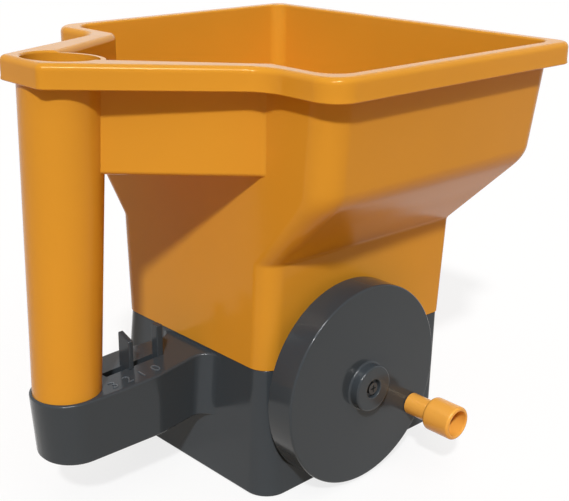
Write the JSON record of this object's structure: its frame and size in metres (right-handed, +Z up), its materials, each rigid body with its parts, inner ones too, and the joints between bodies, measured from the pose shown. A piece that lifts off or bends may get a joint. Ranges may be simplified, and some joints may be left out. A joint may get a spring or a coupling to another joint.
{
  "type": "handheld seed spreader",
  "caption": "Hand-cranked broadcast spreader: open hopper with a moulded grip tube, geared spinner base, side crank wheel with a turning knob, and a sprung flow gate with a sliding stop",
  "frame": {"origin": "on the spinner's axis, on the plane the base stands on", "axes": "+X forward from the grip to the seed mouth, +Y away from the crank side, +Z up"},
  "size_m": [0.2786, 0.2392, 0.2394],
  "materials": {
    "orange_plastic": "satin moulded",
    "grey_plastic": "satin moulded",
    "pale_plastic": "satin moulded",
    "bush_metal": "sintered",
    "steel": "zinc plated"
  },
  "bodies": {
    "housing": {"hopper": "orange_plastic", "base_housing": "grey_plastic", "base_floor": "grey_plastic", "arm_cover": "grey_plastic", "gate_guide": "grey_plastic", "gate_spring": "steel", "crank_axle": "steel", "hub_washer": "steel", "hub_screw": "steel", "wall_bush": "bush_metal", "inner_bush": "bush_metal", "foot_bush": "bush_metal", "thrust_washer": "steel", "top_bush": "bush_metal", "housing_screws": "steel", "guide_screws": "steel", "cover_screws": "steel", "handle_screw": "steel"},
    "crank": {"crank_wheel": "grey_plastic", "knob_pin": "steel"},
    "knob": {"crank_knob": "orange_plastic"},
    "cross": {"cross_shaft": "steel", "drive_pinion": "pale_plastic", "drive_bevel": "pale_plastic", "shaft_clip": "steel"},
    "spinner": {"spinner_shaft": "steel", "spinner_bevel": "pale_plastic", "spinner_disc": "pale_plastic", "agitator": "pale_plastic"},
    "gate": {"gate_slide": "grey_plastic"},
    "stop": {"flow_stop": "grey_plastic"}
  },
  "joints": [
    {"name": "crank_spin", "type": "hinge", "parent": "housing", "child": "crank", "pos_m": [0, -0.08, 0.0585], "axis": [0, 1, 0], "continuous": true},
    {"name": "knob_spin", "type": "hinge", "parent": "crank", "child": "knob", "pos_m": [0.03901, -0.1, 0.03412], "axis": [0, 1, 0], "continuous": true},
    {"name": "cross_spin", "type": "hinge", "parent": "housing", "child": "cross", "pos_m": [0, -0.04, 0.0165], "axis": [0, 1, 0], "continuous": true},
    {"name": "spinner_spin", "type": "hinge", "parent": "housing", "child": "spinner", "pos_m": [0, 0, 0.035], "axis": [0, 0, 1], "continuous": true},
    {"name": "gate_pull", "type": "slide", "parent": "housing", "child": "gate", "axis": [-1, 0, 0], "range_m": [0, 0.017], "stiffness_N_per_m": 200, "springref_m": -0.01, "deforming": ["gate_spring"]},
    {"name": "stop_set", "type": "slide", "parent": "housing", "child": "stop", "axis": [-1, 0, 0], "range_m": [0, 0.0085]}
  ],
  "couplings": [
    {"joint": "cross_spin", "follows": "crank_spin", "ratio": 5.6667},
    {"joint": "spinner_spin", "follows": "crank_spin", "ratio": 5.6667}
  ]
}
